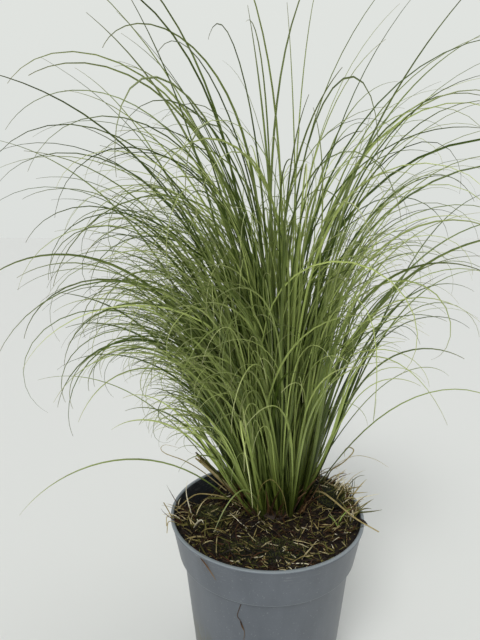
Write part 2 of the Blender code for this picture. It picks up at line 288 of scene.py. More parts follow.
# Middle of each in x and y, its reach, and how far it rises.
HOLLOW = (-0.043, 0.034, 0.020, -0.012)
MOUND = (0.046, 0.020, 0.024, 0.007)
CLUMP = Vector((0.006, 0.012, 0.0))
CROWN_RADIUS = 0.0215
CROWN_HEIGHT = 0.007
PEAT_DARK = "#0e0b07"
PEAT_BROWN = "#2a1e13"
PEAT_SHRED = "#4c3821"
random.seed(7)


def swell(x, y, centre_x, centre_y, reach, rise):
    distance = math.hypot(x - centre_x, y - centre_y) / reach
    return rise * math.exp(-distance * distance)


def soil_height(x, y):
    """Height of the compost: sunk at the back left, mounded at the right."""
    ripple = 0.001 * math.sin(95 * x + 0.7) * math.cos(80 * y)
    return SOIL_LEVEL + swell(x, y, *HOLLOW) + swell(x, y, *MOUND) + ripple


def rough_soil(x, y):
    """The compost's height with its lumps and crumbs."""
    lumps = noise.noise(Vector((x * 130, y * 130, 0.3)))
    crumbs = noise.noise(Vector((x * 420, y * 420, 4.1)))
    return soil_height(x, y) + 0.0013 * lumps + 0.0007 * crumbs


def peat():
    """Milled peat: fibrous, nearly black when moist, with browner shreds; quite matt."""
    made, tree, shader, place = start_material("milled_peat", 0.9, 1.4)
    shreds = node(tree, "ShaderNodeTexNoise", {"Vector": place, "Scale": 600.0, "Detail": 6.0,
                                               "Roughness": 0.7})
    colour = node(tree, "ShaderNodeValToRGB", {"Fac": shreds.outputs["Fac"]},
                  stops=[(0.38, PEAT_DARK), (0.62, PEAT_BROWN), (0.78, PEAT_SHRED)])
    tree.links.new(colour.outputs["Color"], shader.inputs["Base Color"])
    bump = node(tree, "ShaderNodeBump", {"Height": shreds.outputs["Fac"], "Strength": 0.9,
                                         "Distance": 0.0008})
    tree.links.new(bump.outputs[0], shader.inputs["Normal"])
    return made


def make_compost():
    """The plug of compost, a hair clear of the wall, with its rough top and loose crumbs."""
    slack = 0.0005
    floor = CHANNEL_HEIGHT + WALL + 0.0003
    step_top = POT_HEIGHT - COLLAR_HEIGHT
    heights = (floor, step_top - STEP_HEIGHT, step_top, SOIL_LEVEL)
    outline = [(0.0, floor)] + [(inner_radius(height) - slack, height) for height in heights]
    edge_radius = outline[-1][0]
    outline += [(edge_radius * (1 - ring / COMPOST_RINGS), SOIL_LEVEL)
                for ring in range(1, COMPOST_RINGS + 1)]
    build = spin_outline(outline, COMPOST_STEPS)
    for vertex in build.verts:
        if vertex.co.z < SOIL_LEVEL - 0.0001:
            continue
        share = math.hypot(vertex.co.x, vertex.co.y) / edge_radius
        height = rough_soil(vertex.co.x, vertex.co.y)
        if share > 0.99:
            height = soil_height(vertex.co.x, vertex.co.y)
            vertex.co.x *= (inner_radius(height) - slack) / edge_radius
            vertex.co.y *= (inner_radius(height) - slack) / edge_radius
        vertex.co.z = height
    for _ in range(CRUMBS):
        radius = CRUMB_REACH * math.sqrt(random.random())
        angle = random.uniform(0, 2 * math.pi)
        x, y = radius * math.cos(angle), radius * math.sin(angle)
        size = random.uniform(0.0003, 0.0011)
        turn = Matrix.Rotation(random.uniform(0, 3), 4,
                               Vector((random.random(), random.random(), 1)))
        stretch = Matrix.Diagonal((1.0, random.uniform(0.5, 1.0), random.uniform(0.4, 0.8), 1.0))
        spot = Matrix.Translation((x, y, rough_soil(x, y) + 0.3 * size))
        bmesh.ops.create_icosphere(build, subdivisions=1, radius=size,
                                   matrix=spot @ turn @ stretch)
    return build


finish_piece("compost_plug", make_compost(), [peat()], "compost", "compost", sharp=60)


# Leaves: each is one thin channelled blade with a keel below. A blade is made straight and
# flat, as a strip that is folded along its middle, and is then laid along its own line.
# The same strip makes the litter, the moss shoots and the dead leaves.
FLARE_SHARE = 0.15
TIP_CROWDING = 1.45
TAPER_LATENESS = 2.6
TIP_WIDTH = 0.12
blanks = {}


def blank_leaf(segments):
    """A straight leaf one unit wide each way from its middle, a segment to each unit of height."""
    if segments not in blanks:
        build = bmesh.new()
        section = [(-1.0, 0.0), (0.0, 0.35), (1.0, 0.0), (0.0, 0.7)]
        corners = [build.verts.new((across, -depth, 0.0)) for across, depth in section]
        face = build.faces.new(corners)
        for _ in range(segments):
            made = bmesh.ops.extrude_face_region(build, geom=[face])["geom"]
            face = next(item for item in made if isinstance(item, bmesh.types.BMFace))
            moved = [item for item in made if isinstance(item, bmesh.types.BMVert)]
            bmesh.ops.translate(build, verts=moved, vec=(0, 0, 1))
        bmesh.ops.recalc_face_normals(build, faces=build.faces)
        mesh = bpy.data.meshes.new(f"blank_leaf_{segments}")
        build.to_mesh(mesh)
        build.free()
        blanks[segments] = mesh
    return blanks[segments]


def new_blades():
    """An empty bmesh whose points also hold how far along and across a blade they are."""
    build = bmesh.new()
    for name in ("along", "across", "tint"):
        build.verts.layers.float.new(name)
    return build


def lay_blade(build, line, half_widths, tint, roll=0.0, twist=0.0, fold=1.5):
    """Lays a blank leaf along a line, folded more or less, and rolled and twisted about it."""
    along, across, shade = (build.verts.layers.float[name] for name in ("along", "across", "tint"))
    first = len(build.verts)
    build.from_mesh(blank_leaf(len(line) - 1))
    build.verts.ensure_lookup_table()
    last = len(line) - 1
    sides, backs = [], []
    side = None
    for index, place in enumerate(line):
        tangent = (line[min(index + 1, last)] - line[max(index - 1, 0)]).normalized()
        if side is None:
            side = tangent.cross(Vector((0, 0, 1)))
            if side.length < 0.02:
                side = Vector((math.cos(roll), math.sin(roll), 0.0))
        side = (side - side.dot(tangent) * tangent).normalized()
        back = tangent.cross(side)
        angle = roll + twist * index / last
        sides.append(math.cos(angle) * side + math.sin(angle) * back)
        backs.append(math.cos(angle) * back - math.sin(angle) * side)
    for vertex in build.verts[first:]:
        sideways, depth, height = vertex.co
        station = round(height)
        half = half_widths[station]
        vertex.co = (line[station] + half * sideways * sides[station]
                     + half * fold * depth * backs[station])
        vertex[along] = station / last
        vertex[across] = sideways
        vertex[shade] = tint


def shares_along(stations):
    """Shares of a leaf's length at which its stations lie, closer together near its tip."""
    return [1 - (1 - index / (stations - 1)) ** TIP_CROWDING for index in range(stations)]


def leaf_line(root, azimuth, lean, tip_lean, length, bend, stations=25, drift=0.0, sway=0.0,
              phase=0.0, flare=0.0):
    """Points along a leaf, closer near its tip. It flares out of the crown, runs straight at
    its lean off the vertical, and turns over late; its heading drifts and sways."""
    shares = shares_along(stations)
    place = Vector(root)
    line = [place.copy()]
    for before, after in zip(shares[:-1], shares[1:]):
        along = (before + after) / 2
        wave = sway * math.sin(6 * along + phase)
        angle = math.radians(lean + flare * math.exp(-along / FLARE_SHARE) + wave
                             + (tip_lean - lean) * along ** bend)
        heading = math.radians(azimuth + drift * along + wave)
        step = Vector((math.sin(angle) * math.cos(heading), math.sin(angle) * math.sin(heading),
                       math.cos(angle)))
        place = place + (after - before) * length * step
        line.append(place.copy())
    return line


def leaf_widths(width, stations=25, root_share=0.85):
    """Half widths of a leaf: nearly even past its middle, then drawn out to a thread."""
    return [0.5 * width * (root_share + (1 - root_share) * min(share * 5, 1))
            * (TIP_WIDTH + (1 - TIP_WIDTH) * (1 - share ** TAPER_LATENESS))
            for share in shares_along(stations)]


def leaf_material(name, dark_stops, pale_stops, roughness, ribs=9.0):
    """A ribbed leaf that shades from root to tip, between a dark and a pale leaf of its kind."""
    made, tree, shader, place = start_material(name, roughness, 1.45)
    along = node(tree, "ShaderNodeAttribute", attribute_name="along")
    across = node(tree, "ShaderNodeAttribute", attribute_name="across")
    tint = node(tree, "ShaderNodeAttribute", attribute_name="tint")
    dark = node(tree, "ShaderNodeValToRGB", {"Fac": along.outputs["Fac"]}, stops=dark_stops)
    pale = node(tree, "ShaderNodeValToRGB", {"Fac": along.outputs["Fac"]}, stops=pale_stops)
    blotch = node(tree, "ShaderNodeTexNoise", {"Vector": place, "Scale": 60.0, "Detail": 2.0})
    shift = node(tree, "ShaderNodeMath", {0: blotch.outputs["Fac"], 1: 0.5, 2: -0.25},
                 operation="MULTIPLY_ADD")
    level = node(tree, "ShaderNodeMath", {0: tint.outputs["Fac"], 1: shift.outputs[0]})
    level.use_clamp = True
    blend = node(tree, "ShaderNodeMix", {"Factor": level.outputs[0], "A": dark.outputs["Color"],
                                         "B": pale.outputs["Color"]}, data_type="RGBA")
    rib_wave = node(tree, "ShaderNodeMath", {0: across.outputs["Fac"], 1: ribs * math.pi},
                    operation="MULTIPLY")
    rib = node(tree, "ShaderNodeMath", {0: rib_wave.outputs[0]}, operation="SINE")
    rib_light = node(tree, "ShaderNodeMath", {0: rib.outputs[0], 1: 0.06, 2: 1.0},
                     operation="MULTIPLY_ADD")
    colour = node(tree, "ShaderNodeVectorMath", {0: blend.outputs["Result"],
                  "Scale": rib_light.outputs[0]}, operation="SCALE")
    tree.links.new(colour.outputs[0], shader.inputs["Base Color"])
    bump = node(tree, "ShaderNodeBump", {"Height": rib.outputs[0], "Strength": 0.35,
                                         "Distance": 0.0001})
    tree.links.new(bump.outputs[0], shader.inputs["Normal"])
    return made


# Living leaf: satin and ribbed; olive to pale lime where it arches over. Low down its ramps darken
# it
# to deep green and near black at the root: painted shade of the crowded crown.
leaf_green = leaf_material("sedge_leaf_blade",
                           [(0.0, "#161a05"), (0.08, "#212c07"), (0.3, "#3a4d0f"),
                            (0.65, "#4c6018"), (0.88, "#556128"), (1.0, "#6b6940")],
                           [(0.0, "#4c5220"), (0.08, "#6f7e34"), (0.3, "#bacc74"),
                            (0.65, "#cbd983"), (0.88, "#c4cb8e"), (1.0, "#bdb98e")], 0.32)


# Tufts: nineteen bundles of shoots, each with its own fan of leaves, packed hexagonally on
# the crown. The outer ones lean out, so that the clump opens like a vase.
TUFT_SPACING = 0.0088
SHOOT_SPREAD = 0.0048
# Each tuft's ring on the crown and the angle at which it stands there; then, for its one long
# leaf, heading, lean at the root and at the tip, length in millimetres, and lateness of bend.
TUFTS = [
    ("centre", 0.0, 0, 150, 0, 12, 305, 2.0),
    ("inner_right", 1.0, 0, 4, 4, 72, 335, 2.6),
    ("inner_back_right", 1.0, 60, 55, 6, 100, 330, 3.0),
    ("inner_back_left", 1.0, 120, 125, 6, 105, 335, 3.0),
    ("inner_left", 1.0, 180, 178, 3, 145, 355, 3.2),
    ("inner_front_left", 1.0, 240, 215, 2, 155, 330, 5.5),
    ("inner_front_right", 1.0, 300, 332, 6, 50, 320, 2.4),
    ("outer_right", 2.0, 0, 0, 15, 120, 265, 2.8),
    ("outer_right_back", 1.732, 30, 24, 11, 145, 300, 3.6),
    ("outer_back_right", 2.0, 60, 60, 16, 125, 285, 2.6),
    ("outer_back", 1.732, 90, 90, 14, 120, 290, 2.8),
    ("outer_back_left", 2.0, 120, 120, 16, 125, 280, 2.6),
    ("outer_left_back", 1.732, 150, 155, 11, 60, 330, 2.4),
    ("outer_left", 2.0, 180, 184, 13, 82, 290, 2.4),
    ("outer_left_front", 1.732, 210, 205, 14, 140, 255, 2.8),
    ("outer_front_left", 2.0, 240, 238, 14, 118, 225, 3.0),
    ("outer_front", 1.732, 270, 268, 8, 110, 225, 3.2),
    ("outer_front_right", 2.0, 300, 300, 13, 115, 225, 3.0),
    ("outer_right_front", 1.732, 330, 334, 13, 122, 250, 2.8),
]
# Room that the leaves may take up, and how the whole clump grows: it leans to the left, and
# its leaves lean no more than so much in degrees; those at the front stand steeper and longer.
REACH_LOW = Vector((-0.170, -0.116, 0.0))
REACH_HIGH = Vector((0.184, 0.198, 0.426))
CLUMP_LEAN = 6
MOST_LEAN = 35
FRONT_STEEPER = 0.4
FRONT_LONGER = 0.1
RIGHT_LONGER = 0.01
LENGTH_FALL = 80
FLARES = (0.5, 1.0)
ROOT_PINCH = (0.8, 0.9)
POT_CLEARANCE = 0.004
POT_REACH = 0.085
# Fans of leaves. Lengths and widths are in millimetres, the rest in degrees or as shares.
OUTER_SHOOTS = {"shoots": 13, "members": 3, "leans": (13, 6), "lengths": (150, 280),
                "turns": (45, 135), "bends": (2.6, 4.6), "widths": (1.2, 2.0),
                "tints": (0.8, 1.3)}
OUTER_FINE = {"members": 1, "leans": (12, 6), "lengths": (120, 250), "turns": (90, 180),
              "bends": (3.5, 5.0), "widths": (0.7, 1.15), "tints": (1.1, 0.8),
              "drift": 50, "sway": 6}
INNER_SHOOTS = {"shoots": 10, "members": 3, "lengths": (310, 370), "turns": (50, 190),
                "bends": (2.4, 4.4), "widths": (1.2, 2.0), "tints": (0.8, 1.7)}
INNER_FINE = {"shoots": 26, "members": 1, "leans": (10, 5), "lengths": (260, 320),
              "turns": (90, 200), "bends": (3.5, 5.5), "widths": (0.7, 1.15),
              "tints": (1.0, 1.2), "drift": 50, "sway": 6}
LEFT_ARCS = {"shoots": 2, "members": 1, "leans": (9, 4), "lengths": (300, 380),
             "turns": (120, 230), "bends": (2.4, 3.6), "widths": (1.0, 1.5), "tints": (0.8, 1.8)}
CURLED_TIPS = {"shoots": 4, "members": 1, "leans": (9, 6), "lengths": (230, 340),
               "turns": (200, 330), "bends": (3.5, 6.0), "widths": (0.9, 1.3),
               "tints": (1.2, 0.9), "drift": 50, "sway": 6}
FRONT_PALE = {"shoots": 3, "members": 1, "leans": (13, 7), "lengths": (200, 300),
              "turns": (80, 170), "bends": (2.0, 3.4), "widths": (1.1, 1.6),
              "tints": (4.0, 0.8), "drift": 50, "sway": 6}
FINE_AT_FRONT = 16
FINE_ELSEWHERE = 30


def root_on_crown(spacing, azimuth, pinch=(1.0, 1.0)):
    """A place on the crown; a pinch draws the crown in from its sides, front and back."""
    angle = math.radians(azimuth)
    x = CLUMP.x + spacing * math.cos(angle) * pinch[0]
    y = CLUMP.y + spacing * math.sin(angle) * pinch[1]
    return Vector((x, y, soil_height(x, y)))


def within_reach(line):
    """Whether a leaf keeps inside the room that the clump's longest leaves take up, and stays
    above the pot where it comes down over it."""
    inside = all(low < value < high for place in line
                 for low, value, high in zip(REACH_LOW, place, REACH_HIGH))
    return inside and all(place.z > POT_HEIGHT + POT_CLEARANCE
                          or math.hypot(place.x, place.y) > POT_REACH for place in line[8:])


def grown_leaf(start, azimuth, lean, tip_lean, length, bend, **shape):
    """The line of a leaf, shortened until it keeps inside the clump's reach."""
    line = leaf_line(start, azimuth, lean, tip_lean, length, bend, **shape)
    while not within_reach(line):
        length *= 0.95
        line = leaf_line(start, azimuth, lean, tip_lean, length, bend, **shape)
    return line


def grow_fan(build, root, headings, shoots, members, leans, lengths, turns, bends, widths,
             tints, drift=30, sway=3):
    """Shoots of one kind in a tuft, each of some leaves that part from one another higher up.
    Headings and leans are a middle and a spread, tints the two weights of a beta draw, drift
    and sway a spread, and the others the least and the most. Leaves that lean far are shorter,
    and those at the front stand steeper."""
    for _ in range(shoots):
        heading = math.radians(random.gauss(*headings))
        to_front = max(0.0, -math.sin(heading))
        own_lean = abs(random.gauss(*leans)) * (1 - FRONT_STEEPER * to_front)
        side = own_lean * math.cos(heading) - CLUMP_LEAN
        depth = own_lean * math.sin(heading)
        lean = min(math.hypot(side, depth), MOST_LEAN)
        longest = (0.001 * random.uniform(*lengths) * math.exp(-lean / LENGTH_FALL)
                   * (1 + FRONT_LONGER * to_front + RIGHT_LONGER * side))
        angle = random.uniform(0, 2 * math.pi)
        distance = SHOOT_SPREAD * math.sqrt(random.random())
        shoot = root + Vector((distance * math.cos(angle), distance * math.sin(angle), -0.002))
        wave, phase = random.gauss(0, sway), random.uniform(0, 6)
        flare = own_lean * random.uniform(*FLARES)
        tint = random.betavariate(*tints)
        for _ in range(members):
            start = shoot + Vector((random.gauss(0, 0.0006), random.gauss(0, 0.0006), 0))
            line = grown_leaf(start, math.degrees(math.atan2(depth, side)), lean,
                              lean + random.uniform(*turns), longest * random.uniform(0.82, 1.0),
                              random.uniform(*bends), drift=random.gauss(0, drift), sway=wave,
                              phase=phase, flare=flare)
            lay_blade(build, line, leaf_widths(0.001 * random.uniform(*widths)),
                      tint + random.gauss(0, 0.14), roll=random.uniform(-1.3, 1.3),
                      twist=random.gauss(0, 1.6))


for name, ring, lattice, azimuth, lean, tip_lean, length, bend in TUFTS:
    root = root_on_crown(ring * TUFT_SPACING, lattice, ROOT_PINCH)
    at_front = "front" in name
    at_left = math.cos(math.radians(lattice)) < -0.4
    build = new_blades()
    if ring > 1.5:
        grow_fan(build, root, (lattice, 25), **OUTER_SHOOTS)
        grow_fan(build, root, (lattice, 45), FINE_AT_FRONT if at_front else FINE_ELSEWHERE,
                 **OUTER_FINE)
    else:
        grow_fan(build, root, (lattice, 60 if ring else 180), leans=(10 if ring else 3, 3),
                 **INNER_SHOOTS)
        grow_fan(build, root, (lattice, 80), **INNER_FINE)
    if at_left:
        grow_fan(build, root, (180, 40), **LEFT_ARCS)
    grow_fan(build, root, (lattice, 90), **CURLED_TIPS)
    if at_front:
        grow_fan(build, root, (lattice, 70), **FRONT_PALE)
    finish_piece(f"leaves_{name}", build, [leaf_green], "tuft", f"tuft_{name}")
    build = new_blades()
    root = root_on_crown(ring * TUFT_SPACING, lattice)
    line = leaf_line(root, azimuth, lean, tip_lean, length * 0.001, bend, 33)
    lay_blade(build, line, leaf_widths(0.0022, 33), 0.2, roll=random.uniform(-0.6, 0.6),
              twist=random.gauss(0, 0.8))
    finish_piece(f"long_leaf_{name}", build, [leaf_green], "leaf", f"leaf_{name}")


# Low leaves: the plant's oldest, thin and short of light, which arch out over the rim from
# the edge of the crown.
# Heading, lean at the root and at the tip, length in millimetres, and lateness of the bend.
LOW_LEAVES = [
    ("low_leaf_left", 176, 34, 108, 165, 2.0),
    ("low_leaf_left_front", 205, 38, 140, 150, 1.6),
    ("low_leaf_right", 4, 34, 176, 190, 2.0),
    ("low_leaf_right_back", 28, 40, 128, 165, 2.2),
    ("low_leaf_back", 92, 38, 125, 170, 2.0),
    ("low_leaf_back_left", 140, 38, 130, 160, 1.9),
    ("low_leaf_front", 252, 34, 112, 105, 1.8),
]


def soil_root(x, y, lift=0.0):
    """A place on the compost, or a little above it."""
    return Vector((x, y, soil_height(x, y) + lift))


for name, azimuth, lean, tip_lean, length, bend in LOW_LEAVES:
    angle = math.radians(azimuth)
    away = CROWN_RADIUS + 0.0035
    root = soil_root(CLUMP.x + away * math.cos(angle), CLUMP.y + away * math.sin(angle), 0.0025)
    build = new_blades()
    lay_blade(build, leaf_line(root, azimuth, lean, tip_lean, length * 0.001, bend),
              leaf_widths(0.0012), 0.5, roll=random.uniform(-0.5, 0.5),
              twist=random.gauss(0, 1.0))
    finish_piece(f"arched_{name}", build, [leaf_green], "leaf", name)


# Crown: the knot of short stems that the tufts stand on, wrapped in the dead brown sheaths
# of past leaves; torn ends of old leaves stick out between the living ones.
SHEATHS = 170


def mound(build, centre, radii, roughness):
    """A low rough cushion pressed into the compost."""
    spot = Matrix.Translation(centre) @ Matrix.Diagonal((*radii, 1.0))
    made = bmesh.ops.create_icosphere(build, subdivisions=4, radius=1.0, matrix=spot)
    for vertex in made["verts"]:
        lump = noise.noise(vertex.co * 350)
        vertex.co += roughness * lump * (vertex.co - centre).normalized()


# Dead sheath: dull and brown at its root, bleached to straw towards its torn end.
dead_sheath = leaf_material("dead_leaf_sheath",
                            [(0.0, "#2b1c0f"), (0.5, "#4a321b"), (1.0, "#6b4f2c")],
                            [(0.0, "#6b4a28"), (0.5, "#94724a"), (1.0, "#bfa67a")], 0.65)
build = new_blades()
crown_middle = soil_root(CLUMP.x, CLUMP.y, 0.0005)
mound(build, crown_middle,
      (CROWN_RADIUS * 0.97, CROWN_RADIUS * 0.97, CROWN_HEIGHT * 0.75), 0.0012)
for _ in range(SHEATHS):
    angle = random.uniform(0, 2 * math.pi)
    away = CROWN_RADIUS * math.sqrt(random.uniform(0.3, 1.05))
    root = soil_root(CLUMP.x + away * math.cos(angle), CLUMP.y + away * math.sin(angle), 0.001)
    lean = 26 * away / CROWN_RADIUS + random.gauss(0, 8)
    length = random.choice((0.006, 0.009, 0.013, 0.030)) * random.uniform(0.7, 1.3)
    line = leaf_line(root, math.degrees(angle) + random.gauss(0, 25), lean,
                     lean + random.uniform(-10, 50), length, 1.5, 7)
    lay_blade(build, line, leaf_widths(0.001 * random.uniform(0.8, 1.6), 7),
              random.random() ** 1.6, roll=random.uniform(-1.5, 1.5), twist=random.gauss(0, 1.0))
finish_piece("crown_sheaths", build, [dead_sheath], "leaf_sheaths", "crown")


# Moss: three soft cushions that have grown on the compost, of short upright shoots with
# pointed leaves, dark olive and a little yellow at the tips.
# Middle of each cushion in x and y, its half widths, its thickness, and its shoots.
MOSS = [("moss_right", 0.043, 0.014, 0.0115, 0.017, 0.0035, 900),
        ("moss_front", -0.006, -0.036, 0.026, 0.0115, 0.0022, 1300),
        ("moss_left", -0.036, -0.006, 0.0125, 0.016, 0.0022, 900)]
# Moss: matt and soft, dark olive in its depth, yellower at the points of its shoots.
moss_green = leaf_material("cushion_moss",
                           [(0.0, "#12140a"), (0.6, "#272c10"), (1.0, "#3d4418")],
                           [(0.0, "#23260f"), (0.6, "#4a4f1e"), (1.0, "#74742f")], 0.8)
for name, x, y, across_x, across_y, thickness, shoots in MOSS:
    build = new_blades()
    centre = soil_root(x, y)
    mound(build, centre, (across_x * 0.95, across_y * 0.95, thickness * 0.7), 0.0009)
    for _ in range(shoots):
        angle, share = random.uniform(0, 2 * math.pi), math.sqrt(random.random())
        dx, dy = share * across_x * math.cos(angle), share * across_y * math.sin(angle)
        rise = 0.7 * thickness * math.sqrt(max(0.0, 1 - share * share)) - 0.0003
        root = Vector((x + dx, y + dy, max(centre.z + rise, soil_height(x + dx, y + dy))))
        line = leaf_line(root, math.degrees(angle) + random.gauss(0, 60), random.uniform(0, 40),
                         random.uniform(0, 70), random.uniform(0.0009, 0.0022), 1.2, 4)
        lay_blade(build, line, leaf_widths(random.uniform(0.0005, 0.0010), 4), random.random(),
                  roll=random.uniform(-1.5, 1.5))
    finish_piece(f"{name}_shoots", build, [moss_green], "moss", name)


# Litter: clippings and shed leaves that have dried on the compost, from nearly black and
# rotten to fresh pale straw, with a few still green. They lie over and under one another.
LITTER_PIECES = 2100
LITTER_REACH = 0.0566
LITTER_SPREAD = 0.057
CLEAR_OF_CROWN = 0.017
LITTER_LENGTHS = (0.003, 0.005, 0.007, 0.013)
LITTER_TAPER = (0.6, 0.9, 1.0, 1.0, 0.8, 0.4)


def lying_line(x, y, azimuth, length, lift, tilt, bow, stations=6):
    """Points of a straw that lies on the compost: bowed sideways, and tilted up from its start."""
    line = []
    for index in range(stations):
        share = index / (stations - 1)
        line.append(Vector((x, y, rough_soil(x, y) + lift + share * length * math.sin(tilt))))
        heading = math.radians(azimuth + bow * share)
        x += length / (stations - 1) * math.cos(tilt) * math.cos(heading)
        y += length / (stations - 1) * math.cos(tilt) * math.sin(heading)
    return line


def straw_material():
    """Dead leaf: dull, fibrous, each piece its own age from rotten brown to pale straw."""
    made, tree, shader, place = start_material("dry_straw", 0.7, 1.4)
    tint = node(tree, "ShaderNodeAttribute", attribute_name="tint")
    fibre = node(tree, "ShaderNodeTexNoise", {"Vector": place, "Scale": 700.0, "Detail": 3.0})
    shift = node(tree, "ShaderNodeMath", {0: fibre.outputs["Fac"], 1: 0.2, 2: -0.1},
                 operation="MULTIPLY_ADD")
    age = node(tree, "ShaderNodeMath", {0: tint.outputs["Fac"], 1: shift.outputs[0]})
    colour = node(tree, "ShaderNodeValToRGB", {"Fac": age.outputs[0]},
                  stops=[(0.0, "#130d08"), (0.26, "#2b1d11"), (0.38, "#4b2a15"), (0.48, "#4b4119"),
                         (0.6, "#5b5d25"), (0.74, "#8f7f4c"), (0.88, "#bdae80"), (1.0, "#e9e2c8")])
    tree.links.new(colour.outputs["Color"], shader.inputs["Base Color"])
    return made


dry_straw = straw_material()
build = new_blades()
laid = 0
while laid < LITTER_PIECES:
    radius, angle = LITTER_SPREAD * math.sqrt(random.random()), random.uniform(0, 2 * math.pi)
    x, y = radius * math.cos(angle), radius * math.sin(angle)
    if math.hypot(x - CLUMP.x, y - CLUMP.y) < CLEAR_OF_CROWN:
        continue
    line = lying_line(x, y, random.uniform(0, 360),
                      random.choice(LITTER_LENGTHS) * random.uniform(0.7, 1.3),
                      random.uniform(0.0, 0.0022), random.uniform(-0.05, 0.45),
                      random.gauss(0, 22))
    if max(math.hypot(place.x, place.y) for place in line) > LITTER_REACH:
        continue
    lay_blade(build, line,
              [half * 0.001 * random.uniform(0.15, 0.42) for half in LITTER_TAPER],
              random.betavariate(0.8, 1.4), roll=random.uniform(-1.5, 1.5),
              twist=random.gauss(0, 0.8))
    laid += 1
finish_piece("litter", build, [dry_straw], "dry_leaf")


# Straws at the rim: longer dead leaves that lie on the compost and stick out over the rim,
# in a tangle at the right and a few hairs at the left.
# Each strand's points in millimetres, its width, its tint and its stations.
RIM_STRANDS = [
    ([(-57, 0, 108), (-47, 15, 109.5), (-36.7, 16, 109.5), (-26.7, 14, 108.5),
      (-13, 4.5, 106)], 1.3, 0.76, 18),
    ([(-55, -14.5, 107.5), (-41, -13.7, 107), (-29, -10.5, 107.5), (-15, -3.8, 107.5)],
     1.2, 0.66, 18),
    ([(-38, 20, 105), (-30, 13, 109), (-21, 9, 110), (-14, 7, 107)], 1.4, 0.62, 18),
    ([(-2.6, 5.3, 106), (-4, -7, 112), (-6, -14, 113)], 0.9, 0.95, 18),
    ([(-5, -11, 106), (-6, -10, 118), (-4, -12, 131), (2, -17, 138), (8, -21, 132),
      (11, -23, 118)], 0.8, 0.66, 26),
    ([(-26, 24, 108), (-41.7, 30.4, 118), (-54.3, 27.4, 128), (-67, 26, 134),
      (-70.6, 27.9, 137), (-67.3, 29, 139), (-57.5, 27, 137.5)], 0.7, 0.82, 30),
    ([(45, 35, 112), (50, 36, 120), (64, 37, 127), (76.7, 34.5, 126), (86.6, 31.8, 121)],
     0.6, 0.9, 24),
    ([(-64.5, -3, 115), (-59.5, -10, 111.5), (-55.6, -16, 108)], 0.9, 0.72, 18),
    ([(-61.5, -12, 105), (-60.8, -11, 111), (-54, -9, 109)], 0.7, 0.85, 18),
    ([(-60.5, -17, 103.5), (-59.3, -16.5, 110.8), (-52, -15, 108)], 0.6, 0.8, 18),
]
# Tangles of short straws at the rim: heading of the middle, its spread, and how many.
RIM_TANGLES = [(12, 17, 90), (-12, 12, 25), (-168, 12, 40)]


def smooth_line(points, stations):
    """A smooth line through a few points."""
    ends = [2 * points[0] - points[1]] + points + [2 * points[-1] - points[-2]]
    line = []
    for index in range(stations):
        place = index / (stations - 1) * (len(points) - 1)
        piece = min(int(place), len(points) - 2)
        t = place - piece
        a, b, c, d = ends[piece:piece + 4]
        line.append(0.5 * (2 * b + (c - a) * t + (2 * a - 5 * b + 4 * c - d) * t ** 2
                           + (3 * b - a - 3 * c + d) * t ** 3))
    return line


def lay_strand(build, points, width, tint, stations=18, tip_share=0.2, roll=None):
    """A dead leaf through a few points in millimetres, even in width nearly to its tip."""
    line = smooth_line([0.001 * Vector(point) for point in points], stations)
    widths = [0.0005 * width * (1 - (1 - tip_share) * (index / (stations - 1)) ** 3)
              for index in range(stations)]
    if roll is None:
        lay_blade(build, line, widths, tint, random.uniform(-1.0, 1.0), random.gauss(0, 1.5))
    else:
        lay_blade(build, line, widths, tint, roll)


build = new_blades()
for points, width, tint, stations in RIM_STRANDS:
    lay_strand(build, points, width, tint, stations)
for middle, spread, strands in RIM_TANGLES:
    for _ in range(strands):
        angle = math.radians(random.gauss(middle, spread))
        away = random.uniform(0.044, 0.056)
        root = soil_root(away * math.cos(angle), away * math.sin(angle), 0.001)
        line = leaf_line(root, middle + random.gauss(0, 70), random.uniform(15, 80),
                         random.uniform(40, 120), random.uniform(0.007, 0.021), 1.2, 9,
                         drift=random.gauss(0, 40))
        if all(math.hypot(place.x, place.y) < 0.0575 or place.z > POT_HEIGHT for place in line):
            lay_blade(build, line, leaf_widths(0.001 * random.uniform(0.5, 1.2), 9, 0.7),
                      random.betavariate(2.0, 0.9), roll=random.uniform(-1.5, 1.5))
finish_piece("rim_straws", build, [dry_straw], "dry_leaf")


# Single dead pieces: the cut stub of an old stalk at the left, a dry leaf curled at the back
# right, and one long straw that lies over the rim at the right.
STUB_FIBRES = 7
build = new_blades()
for _ in range(STUB_FIBRES):
    root = soil_root(CLUMP.x - 0.024, CLUMP.y + 0.007, 0.0025)
    root += 0.001 * Vector((random.uniform(-1, 1), random.uniform(-1, 1), 0))
    line = leaf_line(root, 168 + random.gauss(0, 3), 44 + random.gauss(0, 2), 52,
                     0.042 * random.uniform(0.8, 1.0), 1.0, 9)
    lay_blade(build, line, [0.0011 - 0.00006 * station for station in range(9)],
              random.uniform(0.5, 0.95), roll=random.uniform(-1.5, 1.5),
              twist=random.gauss(0, 0.7))
finish_piece("stub_fibres", build, [dry_straw], "dry_leaf", "cut_stub")

build = new_blades()
lay_strand(build, [(22.5, 31.5, 110), (36, 34, 113), (51.7, 35.5, 120), (61, 39, 126),
                   (64, 41.5, 129.5), (61, 42.5, 131), (57.5, 41, 129.5), (57, 38, 126)],
           1.1, 0.85, 33)
finish_piece("curled_leaf", build, [dry_straw], "dry_leaf", "curled_dry_leaf")

build = new_blades()
lay_strand(build, [(25, 15, 107), (31, 15, 111.5), (36.7, 11, 114), (41.6, -1.5, 116),
                   (50.5, -20, 115.5), (62.3, -30.7, 113)], 1.5, 0.78, 30, 0.7)
lay_strand(build, [(53.4, -21.6, 115.2), (55.0, -23.5, 115.0), (57.0, -25.6, 114.6)], 2.8, 0.1, 6)
finish_piece("straw_over_rim", build, [dry_straw], "dry_leaf", "long_straw")


